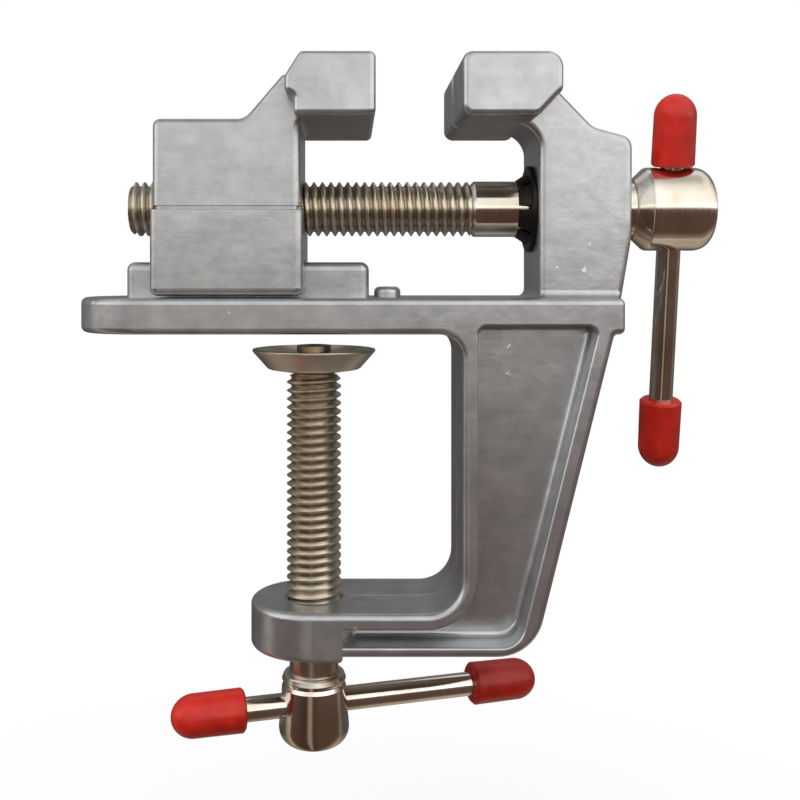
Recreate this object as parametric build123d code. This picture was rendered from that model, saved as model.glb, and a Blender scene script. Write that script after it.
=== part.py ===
from build123d import *
import math
import os

# Mini table vise. All sizes are in millimetres.
# The origin is on the flat underside of the plate, on the clamp screw's axis.
# X runs towards the fixed jaw, Y runs away from the front, and Z is up.

# Plate and the casting that it belongs to
casting_width = 18.5
casting_edge_radius = 0.9
plate_left_reach = 34.2
plate_right_reach = 43.9
plate_thickness = 5.1

# Guide rib and the small nub beside it, both cast on top of the plate
rib_width = 5.6
rib_height = 5.1
rib_left_reach = 27.3
rib_right_reach = 8.1
rib_edge_radius = 1.2
nub_diameter = 3.9
nub_height = 1.5
nub_gap = 0.8
nub_edge_radius = 0.8

# C frame under the plate
throat_depth = 21.1
throat_height = 39.1
throat_top_radius = 3.3
throat_bottom_radius = 5.0
arm_depth = 6.1
frame_lean = 14.0
frame_heel_radius = 6.6
plate_overhang = 1.5
overhang_radius = 0.6
inner_flange = 2.2
outer_flange = 2.4
bottom_flange = 1.5
web_thickness = 8.6
pocket_rise = 1.2
pocket_corner_radius = 1.2
pocket_heel_radius = 3.2
pocket_floor_radius = 0.8
pocket_rim_radius = 0.35
pocket_sunk_in_boss = 2.0

# Threaded boss at the end of the C frame's arm: a block with a round end, and a round wall round the hole
boss_height = 6.95
boss_right_reach = 4.3
boss_wall_diameter = 15.0

# Jaw heads
jaw_width = 30.0
jaw_height = 8.7
jaw_lift = 24.8
jaw_opening = 11.7
fixed_jaw_corner_radius = 1.4
movable_jaw_corner_radius = 0.9
jaw_edge_radius = 0.8
jaw_groove_width = 2.6
jaw_groove_depth = 1.1
fixed_jaw_face = 20.5
fixed_jaw_depth = 13.6
movable_jaw_depth = 12.3

# Cut corners of the jaw heads
fixed_head_cut_depth = 3.3
fixed_head_cut_height = 3.5
fixed_head_back_radius = 2.2
movable_head_bevel_depth = 2.1
movable_head_bevel_height = 3.3
movable_head_notch_depth = 1.2
movable_head_notch_foot = 2.6
movable_head_notch_rise = 0.75
notch_edge_radius = 0.7

# Body of the fixed jaw
fixed_body_width = 14.4
fixed_body_setback = 11.6
fixed_body_overhang = 1.5
fixed_body_bend_height = 8.9
fixed_body_bend_radius = 20.0
fixed_body_edge_radius = 1.0
shoulder_height = 22.75
shoulder_radius = 1.8
gusset_foot_reach = 7.7
gusset_foot_height = 24.3
gusset_angle = 46.4
gusset_crest_inset = 1.5
gusset_radius = 3.0
under_jaw_radius = 3.6
base_radius = 1.1

# Sliding block of the movable jaw
block_width = 17.0
block_length = 20.9
block_setback = 10.4
block_rise = 25.3
block_edge_radius = 1.1
parting_height = 12.5
parting_step = 0.35
parting_edge_radius = 0.2
parting_groove_height = 0.55
parting_groove_depth = 0.45
parting_groove_corner_radius = 0.65
ramp_foot_reach = 13.0
ramp_angle = 49.5
ramp_radius = 2.5
ramp_crest_drop = 1.9
ramp_crest_slope_drop = 1.0
ramp_crest_radius = 0.8
block_top_radius = 0.8
slide_clearance = 0.3

# Thread of both screws
thread_diameter = 8.0
thread_pitch = 1.25
thread_depth = 0.65
thread_crest = 0.20
thread_root = 0.25
thread_clearance = 0.15
thread_end_chamfer = 0.6
thread_mouth_chamfer = 0.25

# Vise screw
vise_screw_lift = 12.95
vise_screw_left_reach = 26.9
vise_thread_stop = 9.1
shank_diameter = 8.2
shank_clearance = 0.1
vise_head_diameter = 12.3
vise_head_length = 11.6
vise_head_shoulder = 1.9
vise_head_nose_diameter = 8.8
vise_head_nose_radius = 0.35
vise_head_shoulder_radius = 0.8
vise_head_crown_radius = 2.6
vise_head_standoff = 1.5
vise_bar_offset = 5.9

# Dished retaining washer on the vise screw
washer_diameter = 12.7
washer_rim = 1.1
washer_dish = 2.3
washer_sheet = 0.6
washer_edge_radius = 0.2
tongue_end_depth = 0.8
washer_slots = 8
washer_slot_width = 0.6
washer_face_gap = 0.1
washer_grip_gap = 0.03

# Clamp screw and its pad
rivet_gap = 2.04
rivet_diameter = 5.1
rivet_rise = 0.56
rivet_edge_radius = 0.2
rivet_hollow_diameter = 2.4
rivet_hollow_foot_diameter = 1.7
rivet_hollow_depth = 0.8
spigot_diameter = 4.2
spigot_clearance = 0.1
pad_diameter = 18.2
pad_thickness = 3.45
pad_rim_land = 0.7
pad_rim_height = 0.3
pad_dish_depth = 0.7
pad_cone_height = 2.6
pad_cone_foot_diameter = 13.6
pad_cone_foot_radius = 0.8
pad_rim_edge_radius = 0.12
pad_floor_diameter = 13.6
pad_floor_radius = 0.8
pad_seat_diameter = 6.8
pad_seat_radius = 0.3
pad_axial_gap = 0.15
neck_diameter = 6.0
neck_length = 0.2
clamp_head_standoff = 4.35
clamp_thread_run_in = 1.0
clamp_neck_diameter = 7.2
clamp_head_length = 10.5
clamp_head_top_diameter = 9.5
clamp_head_bottom_diameter = 10.8
clamp_head_lip_inset = 0.3
clamp_head_lip_height = 0.8
clamp_head_groove_height = 0.5
clamp_head_groove_taper = 0.6
clamp_head_edge_radius = 0.15
clamp_head_crown_radius = 2.6
clamp_bar_offset = 4.5

# Handle bars and their caps
bar_diameter = 3.5
bar_free_length = 35.5
bar_end_chamfer = 0.3
bar_hole_clearance = 0.1
bar_hole_chamfer = 0.5
cap_length = 10.6
cap_mouth_diameter = 6.25
cap_neck_diameter = 6.1
cap_straight_length = 7.3
cap_mouth_chamfer = 0.35
cap_nose_fullness = 0.55
cap_grip = 8.4
cap_fit = 0.03
cap_rest_gap = 0.15
vise_handle_lean = 9.9
clamp_handle_turn = 16.3
clamp_handle_left_reach = 10.5

# How far a cut runs past a face, how far a casting's members are sunk into each other, and the slack
# in telling whether two places are the same
cut_past = 1.0
sunk = 2.0
touching = 0.01

# Places worked out from the sizes above
half_width = casting_width / 2
plate_top = plate_thickness
jaw_underside = plate_top + jaw_lift
jaw_top = jaw_underside + jaw_height
screw_axis = plate_top + vise_screw_lift
movable_jaw_face = fixed_jaw_face - jaw_opening
fixed_body_left = fixed_jaw_face + fixed_body_setback
fixed_body_right = plate_right_reach + fixed_body_overhang
block_top = plate_top + block_rise
block_right = movable_jaw_face - block_setback
block_left = block_right - block_length
block_bottom = plate_top + slide_clearance
parting_line = plate_top + parting_height
shank_radius = shank_diameter / 2
bar_radius = bar_diameter / 2
arm_top = -throat_height
arm_bottom = arm_top - arm_depth
boss_bottom = arm_top - boss_height
rivet_top = -rivet_gap
pad_top = rivet_top - rivet_rise
pad_bottom = pad_top - pad_thickness
spigot_foot = pad_bottom - pad_axial_gap
clamp_thread_top = spigot_foot - neck_length
clamp_head_top = boss_bottom - clamp_head_standoff
lean_slope = math.tan(math.radians(frame_lean))
body_slope = fixed_body_overhang / fixed_body_bend_height
head_left = fixed_body_right + vise_head_standoff
vise_bar_x = head_left + vise_bar_offset
clamp_bar_z = clamp_head_top - clamp_bar_offset


def profile(corners):
    """A flat face in the XZ plane. Each corner is given as x, z and its rounding."""
    points = [(x, 0, z) for x, z, radius in corners]
    radii = [radius for x, z, radius in corners]
    return make_face(FilletPolyline(*points, radius=radii, close=True))


def slab(corners, width):
    """A profile with an even width about the centre plane."""
    return extrude(profile(corners), amount=width / 2, dir=(0, 1, 0), both=True)


def round_sides(solid, radius):
    """Rounds the outlines of a slab's front and back faces."""
    rows = solid.edges().group_by(Axis.Y)
    return fillet(rows[0] + rows[-1], radius)


def turned(corners):
    """A solid of revolution about Z. Each corner is given as radius, height and its rounding."""
    return revolve(profile(corners), axis=Axis.Z)


def block_between(x_low, x_high, y_low, y_high, z_low, z_high):
    """A plain block between two corners."""
    middle = ((x_low + x_high) / 2, (y_low + y_high) / 2, (z_low + z_high) / 2)
    return Pos(*middle) * Box(x_high - x_low, y_high - y_low, z_high - z_low)


def cylinder_up(radius, z_low, z_high):
    """A plain cylinder about Z between two heights."""
    return Pos(0, 0, (z_low + z_high) / 2) * Cylinder(radius, z_high - z_low)


def along_x(shape, height):
    """Turns a shape made about Z to lie along X at the given height."""
    return Pos(0, 0, height) * Rot(0, 90, 0) * shape


def threaded_rod(first_turn, last_turn, clearance):
    """A rod with a true right-hand thread, which starts and ends at whole turns about Z.

    A clearance makes the same thread larger all over, to cut the thread of a hole with.
    """
    steepness = (thread_pitch - thread_crest - thread_root) / 2 / thread_depth
    widening = clearance * (1 - steepness)
    crest = thread_crest / 2 + widening
    root = thread_root / 2 - widening
    crest_radius = thread_diameter / 2 + clearance
    root_radius = crest_radius - thread_depth
    corners = [
        (root_radius, -root),
        (root_radius, root),
        (crest_radius, thread_pitch / 2 - crest),
        (crest_radius, thread_pitch / 2 + crest),
        (root_radius, thread_pitch - root),
    ]

    def helix(corner, turn):
        radius, height = corners[corner]
        coil = Edge.make_helix(thread_pitch, thread_pitch, radius).edges()[0]
        return coil.moved(Location((0, 0, height + turn * thread_pitch)))

    def end_face(turn):
        low = turn * thread_pitch - root
        points = [(0, 0, low)]
        points += [(radius, 0, height + turn * thread_pitch) for radius, height in corners]
        points += [(0, 0, low + thread_pitch)]
        return Face(Wire.make_polygon(points, close=True))

    def end_spiral(turn):
        low = turn * thread_pitch - root
        middle = Edge.make_line((0, 0, low), (0, 0, low + thread_pitch))
        return Face.make_surface_from_curves(middle, helix(0, turn))

    faces = []
    for turn in (first_turn, last_turn):
        faces.append(end_face(turn))
        faces.append(end_spiral(turn))
    for turn in range(first_turn, last_turn):
        for corner in range(len(corners) - 1):
            faces.append(Face.make_surface_from_curves(helix(corner, turn), helix(corner + 1, turn)))
    return Solid(Shell(faces))


def thread_between(low, high, clearance=0.0):
    """A threaded rod that runs at least two turns past both of the given heights."""
    first_turn = math.floor(low / thread_pitch) - 2
    last_turn = math.ceil(high / thread_pitch) + 2
    return threaded_rod(first_turn, last_turn, clearance)


def threaded_hole(low, high):
    """What a threaded hole takes away, with a chamfered mouth at each end."""
    tap = thread_between(low, high, thread_clearance)
    hole = tap & cylinder_up(thread_diameter, low - cut_past, high + cut_past)
    mouth = thread_diameter / 2 + thread_clearance
    wide = mouth + thread_mouth_chamfer + cut_past
    low_end = low - cut_past
    high_end = high + cut_past
    low_mouth = turned([(0, low_end, 0), (wide, low_end, 0), (0, low_end + wide, 0)])
    high_mouth = turned([(0, high_end, 0), (wide, high_end, 0), (0, high_end - wide, 0)])
    return hole + low_mouth + high_mouth


def on_the_sides(casting):
    """The edges that lie in the casting's front and back faces."""
    return casting.edges().filter_by(lambda edge: abs(edge.center().Y) > half_width - touching)


def is_among(edge, others):
    """Whether an edge has the same middle as one of the others."""
    return any((edge.center() - other.center()).length < touching for other in others)


def plate_and_c_frame():
    """The plate, the C frame under it and the pockets in its two sides."""
    heel_x = plate_right_reach - plate_overhang + lean_slope * arm_bottom
    outline = slab(
        [
            (-plate_left_reach, plate_top, 0),
            (-plate_left_reach, 0, 0),
            (throat_depth, 0, throat_top_radius),
            (throat_depth, arm_top, throat_bottom_radius),
            (0, arm_top, 0),
            (0, arm_bottom, 0),
            (heel_x, arm_bottom, frame_heel_radius),
            (plate_right_reach - plate_overhang, 0, overhang_radius),
            (plate_right_reach, 0, casting_edge_radius),
            (plate_right_reach, plate_top, casting_edge_radius),
        ],
        casting_width,
    )
    end_x = half_width - plate_left_reach
    low = -cut_past
    high = plate_top + cut_past
    end_block = block_between(low - plate_left_reach, end_x, -casting_width, casting_width, low, high)
    outline -= end_block - Pos(end_x, 0, 0) * cylinder_up(half_width, low, high)
    end_arcs = outline.edges().filter_by(GeomType.CIRCLE).filter_by(
        lambda edge: abs(edge.radius - half_width) < touching
    )
    casting = fillet(on_the_sides(outline) + end_arcs, casting_edge_radius)
    plain_sides = on_the_sides(casting)
    pocket_face = profile(pocket_outline(heel_x))
    depth = half_width - web_thickness / 2
    for side in (-1, 1):
        start = Pos(0, side * web_thickness / 2, 0) * pocket_face
        pocket = extrude(start, amount=depth + cut_past, dir=(0, side, 0))
        floor = pocket.edges().group_by(Axis.Y)[0 if side > 0 else -1]
        casting -= fillet(floor, pocket_floor_radius)
    rims = [edge for edge in on_the_sides(casting) if not is_among(edge, plain_sides)]
    return fillet(rims, pocket_rim_radius)


def pocket_outline(heel_x):
    """The outline of the pocket in the C frame's side, inside the flanges."""
    top = pocket_rise
    left = throat_depth + inner_flange
    arm_ceiling = arm_top - inner_flange
    floor = arm_bottom + bottom_flange
    slant = outer_flange / math.cos(math.radians(frame_lean))
    right_top = plate_right_reach - plate_overhang - slant + lean_slope * top
    right_floor = heel_x - slant + lean_slope * bottom_flange
    start = boss_right_reach - pocket_sunk_in_boss
    return [
        (left, top, pocket_corner_radius),
        (left, arm_ceiling, throat_bottom_radius + inner_flange),
        (start, arm_ceiling, 0),
        (start, floor, 0),
        (right_floor, floor, pocket_heel_radius),
        (right_top, top, pocket_corner_radius),
    ]


def boss():
    """The threaded boss, round towards the throat's open side."""
    round_end = Circle(half_width) & Pos(-half_width, 0) * Rectangle(casting_width, casting_width)
    plan = round_end + Pos(boss_right_reach / 2, 0) * Rectangle(boss_right_reach, casting_width)
    solid = Pos(0, 0, boss_bottom) * extrude(plan, boss_height)
    rims = solid.edges().group_by(Axis.Z)
    solid = fillet(rims[0] + rims[-1], casting_edge_radius)
    wall = cylinder_up(boss_wall_diameter / 2, boss_bottom, arm_top)
    return solid + fillet(wall.edges().group_by(Axis.Z)[0], casting_edge_radius)


def guide_rib():
    """The rib that the movable jaw straddles, and the nub past its end."""
    low = plate_top - sunk
    high = plate_top + rib_height
    rib = block_between(-rib_left_reach, rib_right_reach, -rib_width / 2, rib_width / 2, low, high)
    upper = rib.edges().filter_by(lambda edge: edge.center().Z > plate_top)
    rib = fillet(upper, rib_edge_radius)
    nub_x = rib_right_reach + nub_gap + nub_diameter / 2
    nub = turned(
        [
            (0, low, 0),
            (nub_diameter / 2, low, 0),
            (nub_diameter / 2, plate_top + nub_height, nub_edge_radius),
            (0, plate_top + nub_height, 0),
        ]
    )
    return rib + Pos(nub_x, 0, 0) * nub


def jaw_groove(face_x, side):
    """The upright V groove across the middle of a jaw's face."""
    reach = jaw_groove_width / 2 * (1 + cut_past / jaw_groove_depth)
    points = [
        (face_x - side * cut_past, -reach, 0),
        (face_x + side * jaw_groove_depth, 0, 0),
        (face_x - side * cut_past, reach, 0),
    ]
    section = Face(Wire.make_polygon(points, close=True))
    height = jaw_height + 2 * cut_past
    return Pos(0, 0, jaw_underside - cut_past) * extrude(section, amount=height, dir=(0, 0, 1))


def fixed_jaw():
    """The fixed jaw: its narrow body on the plate, and its wide head."""
    corner = fixed_jaw_corner_radius
    back = fixed_jaw_face + fixed_jaw_depth
    head = slab(
        [
            (fixed_jaw_face, jaw_underside, corner),
            (back - fixed_head_cut_depth, jaw_underside, corner),
            (back, jaw_underside + fixed_head_cut_height, corner),
            (back, jaw_top, fixed_head_back_radius),
            (fixed_jaw_face, jaw_top, corner),
        ],
        jaw_width,
    )
    head = round_sides(head, jaw_edge_radius) - jaw_groove(fixed_jaw_face, 1)
    foot_x = fixed_body_left + gusset_foot_reach
    foot_z = plate_top + gusset_foot_height
    crest_x = back - gusset_crest_inset
    crest_z = foot_z + (foot_x - crest_x) * math.tan(math.radians(gusset_angle))
    inside_x = fixed_body_left - under_jaw_radius - sunk
    inside_z = jaw_underside + jaw_height / 2
    body = slab(
        [
            (fixed_body_left, plate_top - sunk, 0),
            (fixed_body_left, jaw_underside, under_jaw_radius),
            (inside_x, jaw_underside, 0),
            (inside_x, inside_z, 0),
            (crest_x, crest_z, 0),
            (foot_x, foot_z, gusset_radius),
            (fixed_body_right, plate_top + shoulder_height, shoulder_radius),
            (fixed_body_right, plate_top + fixed_body_bend_height, fixed_body_bend_radius),
            (plate_right_reach - body_slope * sunk, plate_top - sunk, 0),
        ],
        fixed_body_width,
    )
    return head + round_sides(body, fixed_body_edge_radius)


def base_edges(casting):
    """Where the front, the back and the throat side of the fixed body meet the plate."""
    end = plate_right_reach - fixed_body_edge_radius
    level = casting.edges().filter_by(lambda edge: abs(edge.center().Z - plate_top) < touching)
    inside = level.filter_by(lambda edge: abs(edge.center().Y) < fixed_body_width / 2 + touching)
    return inside.filter_by(lambda edge: fixed_body_left - sunk < edge.center().X < end)


def frame():
    """The one-piece casting: plate, guide rib, fixed jaw, C frame and threaded boss."""
    casting = plate_and_c_frame() + boss() + fixed_jaw()
    casting = fillet(base_edges(casting), base_radius) + guide_rib()
    bore = cylinder_up(shank_radius + shank_clearance, fixed_body_left - under_jaw_radius, head_left)
    casting -= along_x(bore, screw_axis)
    casting -= threaded_hole(boss_bottom, arm_top)
    return casting


def parting_groove():
    """What the groove above the movable jaw's parting line takes away, all round the block."""
    high = parting_line + parting_groove_height
    half = block_width / 2
    outer = block_between(
        block_left - cut_past, block_right + cut_past, -half - cut_past, half + cut_past, parting_line, high
    )
    depth = parting_groove_depth
    inner = block_between(
        block_left + depth, block_right - depth, depth - half, half - depth, parting_line, high
    )
    return outer - fillet(inner.edges().filter_by(Axis.Z), parting_groove_corner_radius)


def movable_jaw():
    """The movable jaw: a block that straddles the guide rib, a ramp and a wide head."""
    face = movable_jaw_face
    back = face - movable_jaw_depth
    notch_foot = jaw_underside + movable_head_notch_foot
    corner = movable_jaw_corner_radius
    head = slab(
        [
            (face, jaw_underside, corner),
            (face, jaw_top, corner),
            (back + movable_head_bevel_depth, jaw_top, corner),
            (back, jaw_top - movable_head_bevel_height, corner),
            (back, notch_foot + movable_head_notch_rise, notch_edge_radius),
            (back + movable_head_notch_depth, notch_foot, notch_edge_radius),
            (back + movable_head_notch_depth, jaw_underside, notch_edge_radius),
        ],
        jaw_width,
    )
    head = round_sides(head, jaw_edge_radius) - jaw_groove(face, -1)
    foot_x = block_left + ramp_foot_reach
    crest_z = jaw_top - ramp_crest_drop
    crest_x = foot_x + (crest_z - block_top) / math.tan(math.radians(ramp_angle))
    inside_x = face - movable_jaw_depth / 2
    upper = slab(
        [
            (block_left, parting_line - sunk, 0),
            (block_left, block_top, block_edge_radius),
            (foot_x, block_top, ramp_radius),
            (crest_x, crest_z, ramp_crest_radius),
            (inside_x, crest_z - ramp_crest_slope_drop, 0),
            (inside_x, jaw_underside, 0),
            (block_right, jaw_underside, block_top_radius),
            (block_right, parting_line - sunk, 0),
        ],
        block_width,
    )
    upper = round_sides(upper, block_edge_radius) - parting_groove()
    proud = block_width / 2 + parting_step
    left = block_left - parting_step
    right = block_right + parting_step
    lower = block_between(left, right, -proud, proud, block_bottom, parting_line)
    rounded = lower.edges().filter_by(lambda edge: edge.center().Z < parting_line - touching)
    lower = fillet(rounded, block_edge_radius)
    lower = fillet(lower.edges().group_by(Axis.Z)[-1], parting_edge_radius)
    jaw = lower + upper + head
    slot_half = rib_width / 2 + slide_clearance
    slot_top = plate_top + rib_height + slide_clearance
    jaw -= block_between(left - cut_past, right + cut_past, -slot_half, slot_half, 0, slot_top)
    jaw -= along_x(threaded_hole(left, right), screw_axis)
    return jaw


def bar_hole(reach):
    """A cross hole about Z with a chamfered mouth where it leaves a round head of the given radius."""
    radius = bar_radius + bar_hole_clearance
    hole = cylinder_up(radius, -2 * reach, 2 * reach)
    wide = radius + bar_hole_chamfer
    past = reach + wide
    for side in (-1, 1):
        mouth = turned(
            [
                (0, side * (reach - bar_hole_chamfer - radius), 0),
                (past - reach + bar_hole_chamfer + radius, side * past, 0),
                (0, side * past, 0),
            ]
        )
        hole += mouth
    return hole


def vise_screw():
    """The vise screw with its cross-drilled head, made about Z and then laid along X."""
    tip = -vise_screw_left_reach
    thread_stop = fixed_body_left - vise_thread_stop
    radius = thread_diameter / 2
    blank = turned(
        [
            (0, tip, 0),
            (radius - thread_end_chamfer, tip, 0),
            (radius, tip + thread_end_chamfer, 0),
            (radius, thread_stop, 0),
            (0, thread_stop, 0),
        ]
    )
    thread = thread_between(tip, thread_stop) & blank
    head_radius = vise_head_diameter / 2
    head_end = head_left + vise_head_length
    body = turned(
        [
            (0, thread_stop, 0),
            (shank_radius - thread_end_chamfer, thread_stop, 0),
            (shank_radius, thread_stop + thread_end_chamfer, 0),
            (shank_radius, head_left, 0),
            (vise_head_nose_diameter / 2, head_left, vise_head_nose_radius),
            (head_radius, head_left + vise_head_shoulder, vise_head_shoulder_radius),
            (head_radius, head_end, vise_head_crown_radius),
            (0, head_end, 0),
        ]
    )
    screw = along_x(thread + body, screw_axis)
    cross = Pos(vise_bar_x, 0, screw_axis) * Rot(vise_handle_lean, 0, 0) * bar_hole(head_radius)
    return screw - cross


def retaining_washer():
    """A dished push-on washer: a flat rim, and tongues that lean in to grip the shank."""
    seat = fixed_body_left - washer_face_gap
    outer = washer_diameter / 2
    rim_in = outer - washer_rim
    grip = shank_radius + washer_grip_gap
    washer = turned(
        [
            (outer, seat, 0),
            (outer, seat - washer_sheet, washer_edge_radius),
            (rim_in, seat - washer_sheet, 0),
            (grip, seat - washer_dish, 0),
            (grip, seat - washer_dish + tongue_end_depth, 0),
            (rim_in, seat, 0),
        ]
    )
    half = washer_slot_width / 2
    slot = block_between(0, rim_in, -half, half, seat - washer_dish - cut_past, seat + cut_past)
    for number in range(washer_slots):
        washer -= Rot(0, 0, number * 360 / washer_slots) * slot
    return along_x(washer, screw_axis)


def clamp_screw():
    """The clamp screw: rivet end, neck, thread, plain neck and cross-drilled head."""
    radius = thread_diameter / 2
    spigot = spigot_diameter / 2
    thread_stop = boss_bottom - clamp_thread_run_in
    blank = turned(
        [
            (0, clamp_thread_top, 0),
            (radius - thread_end_chamfer, clamp_thread_top, 0),
            (radius, clamp_thread_top - thread_end_chamfer, 0),
            (radius, thread_stop, 0),
            (0, thread_stop, 0),
        ]
    )
    thread = thread_between(thread_stop, clamp_thread_top) & blank
    pad_floor = pad_top - pad_dish_depth
    rivet_foot = pad_floor + pad_axial_gap
    top = turned(
        [
            (0, clamp_thread_top, 0),
            (neck_diameter / 2, clamp_thread_top, 0),
            (neck_diameter / 2, spigot_foot, 0),
            (spigot, spigot_foot, 0),
            (spigot, rivet_foot, 0),
            (rivet_diameter / 2, rivet_foot, rivet_edge_radius),
            (rivet_diameter / 2, rivet_top, rivet_edge_radius),
            (rivet_hollow_diameter / 2, rivet_top, rivet_edge_radius),
            (rivet_hollow_foot_diameter / 2, rivet_top - rivet_hollow_depth, 0),
            (0, rivet_top - rivet_hollow_depth, 0),
        ]
    )
    head_top_radius = clamp_head_top_diameter / 2
    head_bottom_radius = clamp_head_bottom_diameter / 2
    head_bottom = clamp_head_top - clamp_head_length
    groove_radius = head_top_radius - clamp_head_lip_inset
    lip_bottom = clamp_head_top - clamp_head_lip_height
    groove_bottom = lip_bottom - clamp_head_groove_height
    body = turned(
        [
            (0, thread_stop, 0),
            (clamp_neck_diameter / 2, thread_stop, 0),
            (clamp_neck_diameter / 2, clamp_head_top, clamp_head_edge_radius),
            (groove_radius, clamp_head_top, clamp_head_edge_radius),
            (head_top_radius, lip_bottom, clamp_head_edge_radius),
            (groove_radius, groove_bottom, clamp_head_edge_radius),
            (head_top_radius, groove_bottom - clamp_head_groove_taper, clamp_head_edge_radius),
            (head_bottom_radius, head_bottom, clamp_head_crown_radius),
            (0, head_bottom, 0),
        ]
    )
    screw = thread + top + body
    lying_hole = Rot(0, 90, 0) * bar_hole(head_top_radius)
    return screw - Pos(0, 0, clamp_bar_z) * Rot(0, 0, clamp_handle_turn) * lying_hole


def clamp_pad():
    """The dished pad that turns freely on the clamp screw's riveted end."""
    outer = pad_diameter / 2
    hole = spigot_diameter / 2 + spigot_clearance
    cone_foot = pad_top - pad_rim_height - pad_cone_height
    return turned(
        [
            (hole, pad_bottom, 0),
            (pad_seat_diameter / 2, pad_bottom, pad_seat_radius),
            (pad_cone_foot_diameter / 2, cone_foot, pad_cone_foot_radius),
            (outer, pad_top - pad_rim_height, pad_rim_edge_radius),
            (outer, pad_top, pad_rim_edge_radius),
            (outer - pad_rim_land, pad_top, pad_rim_edge_radius),
            (pad_floor_diameter / 2, pad_top - pad_dish_depth, pad_floor_radius),
            (hole, pad_top - pad_dish_depth, 0),
        ]
    )


def cap():
    """A bullet-shaped cap with its mouth at zero and its tip up."""
    mouth = cap_mouth_diameter / 2
    neck = cap_neck_diameter / 2
    bore = bar_radius + cap_fit
    nose = cap_length - cap_straight_length
    lip = cap_mouth_chamfer
    outline = [
        Polyline((bore, 0, 0), (mouth - lip, 0, 0), (mouth, 0, lip), (neck, 0, cap_straight_length)),
        Bezier(
            (neck, 0, cap_straight_length),
            (neck, 0, cap_straight_length + cap_nose_fullness * nose),
            (cap_nose_fullness * neck, 0, cap_length),
            (0, 0, cap_length),
        ),
        Polyline((0, 0, cap_length), (0, 0, cap_grip + cap_fit), (bore, 0, cap_grip + cap_fit), (bore, 0, 0)),
    ]
    return revolve(make_face(outline), axis=Axis.Z)


def handle(near_reach):
    """A bar about Z with a cap on each end. The upper cap's mouth is at near_reach."""
    far_reach = near_reach - bar_free_length
    bar = cylinder_up(bar_radius, far_reach - cap_grip, near_reach + cap_grip)
    bar = chamfer(bar.edges().filter_by(GeomType.CIRCLE), bar_end_chamfer)
    upper_cap = Pos(0, 0, near_reach) * cap()
    lower_cap = Pos(0, 0, far_reach) * Rot(180, 0, 0) * cap()
    return bar, upper_cap, lower_cap


def vise_handle():
    """The vise screw's handle, slid down until its upper cap rests on the head."""
    place = Pos(vise_bar_x, 0, screw_axis) * Rot(vise_handle_lean, 0, 0)
    return [place * piece for piece in handle(vise_head_diameter / 2 + cap_rest_gap)]


def clamp_handle():
    """The clamp screw's handle, part of the way along its hole."""
    place = Pos(0, 0, clamp_bar_z) * Rot(0, 0, clamp_handle_turn) * Rot(0, -90, 0)
    return [place * piece for piece in handle(clamp_handle_left_reach)]


def main():
    """Makes every piece and writes one file for each."""
    os.makedirs("parts", exist_ok=True)
    pieces = {
        "frame": frame(),
        "movable_jaw": movable_jaw(),
        "vise_screw": vise_screw(),
        "retaining_washer": retaining_washer(),
        "clamp_screw": clamp_screw(),
        "clamp_pad": clamp_pad(),
    }
    names = ("bar", "upper_cap", "lower_cap")
    for name, piece in zip(names, vise_handle()):
        pieces["vise_handle_" + name] = piece
    names = ("bar", "left_cap", "right_cap")
    for name, piece in zip(names, clamp_handle()):
        pieces["clamp_handle_" + name] = piece
    for name, piece in pieces.items():
        export_step(piece, "parts/" + name + ".step")


main()
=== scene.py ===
import math

import bpy
from bpy.props import FloatProperty, FloatVectorProperty, IntProperty, PointerProperty
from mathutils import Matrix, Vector


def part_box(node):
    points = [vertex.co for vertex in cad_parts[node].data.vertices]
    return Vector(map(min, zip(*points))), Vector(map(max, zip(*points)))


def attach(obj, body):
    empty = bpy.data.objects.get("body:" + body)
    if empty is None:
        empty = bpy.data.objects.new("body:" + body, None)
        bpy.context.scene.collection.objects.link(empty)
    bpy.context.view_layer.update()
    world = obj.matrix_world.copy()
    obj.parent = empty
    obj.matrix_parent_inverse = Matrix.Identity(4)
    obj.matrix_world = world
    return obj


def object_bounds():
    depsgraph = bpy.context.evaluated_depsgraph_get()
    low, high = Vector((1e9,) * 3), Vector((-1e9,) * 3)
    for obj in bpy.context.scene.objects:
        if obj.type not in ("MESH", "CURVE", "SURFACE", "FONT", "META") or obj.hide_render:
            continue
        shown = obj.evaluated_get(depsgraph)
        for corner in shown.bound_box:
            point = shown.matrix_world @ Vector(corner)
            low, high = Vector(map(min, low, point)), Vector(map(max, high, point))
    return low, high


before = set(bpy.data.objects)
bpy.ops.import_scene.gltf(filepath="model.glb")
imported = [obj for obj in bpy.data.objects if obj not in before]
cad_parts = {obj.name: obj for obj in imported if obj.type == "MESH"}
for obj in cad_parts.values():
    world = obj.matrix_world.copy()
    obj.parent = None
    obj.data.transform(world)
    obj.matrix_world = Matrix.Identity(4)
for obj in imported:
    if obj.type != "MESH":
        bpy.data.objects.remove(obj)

bl_info = {
    "name": "Mini table vise",
    "version": (1, 0, 0),
    "blender": (4, 5, 0),
    "location": "View3D > Sidebar > Vise",
    "description": "Finishes, casting marks and studio for a mini table vise",
    "category": "Object",
}

CAD_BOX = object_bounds()
MM = 0.001

# The photograph is 800 pixels square, and the camera's axis meets it at this pixel.
PHOTO_SIZE = 800
AXIS_PIXEL = (350, 269)
FOCAL_PIXELS = 1072
SENSOR_WIDTH = 36

ORIGIN = (0, 0, 0)
X_AXIS = (1, 0, 0)
Z_AXIS = (0, 0, 1)

# Height of the vise screw's axis, in metres above the plate's underside
SCREW_AXIS_Z = (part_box("vise_screw")[0].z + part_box("vise_screw")[1].z) / 2

# The radii of both screws' thread. What stands out past the crests by more than the margin isn't thread.
THREAD_ROOT_RADIUS = 3.35 * MM
THREAD_CREST_RADIUS = 4.0 * MM
THREAD_MARGIN = 0.02 * MM

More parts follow.
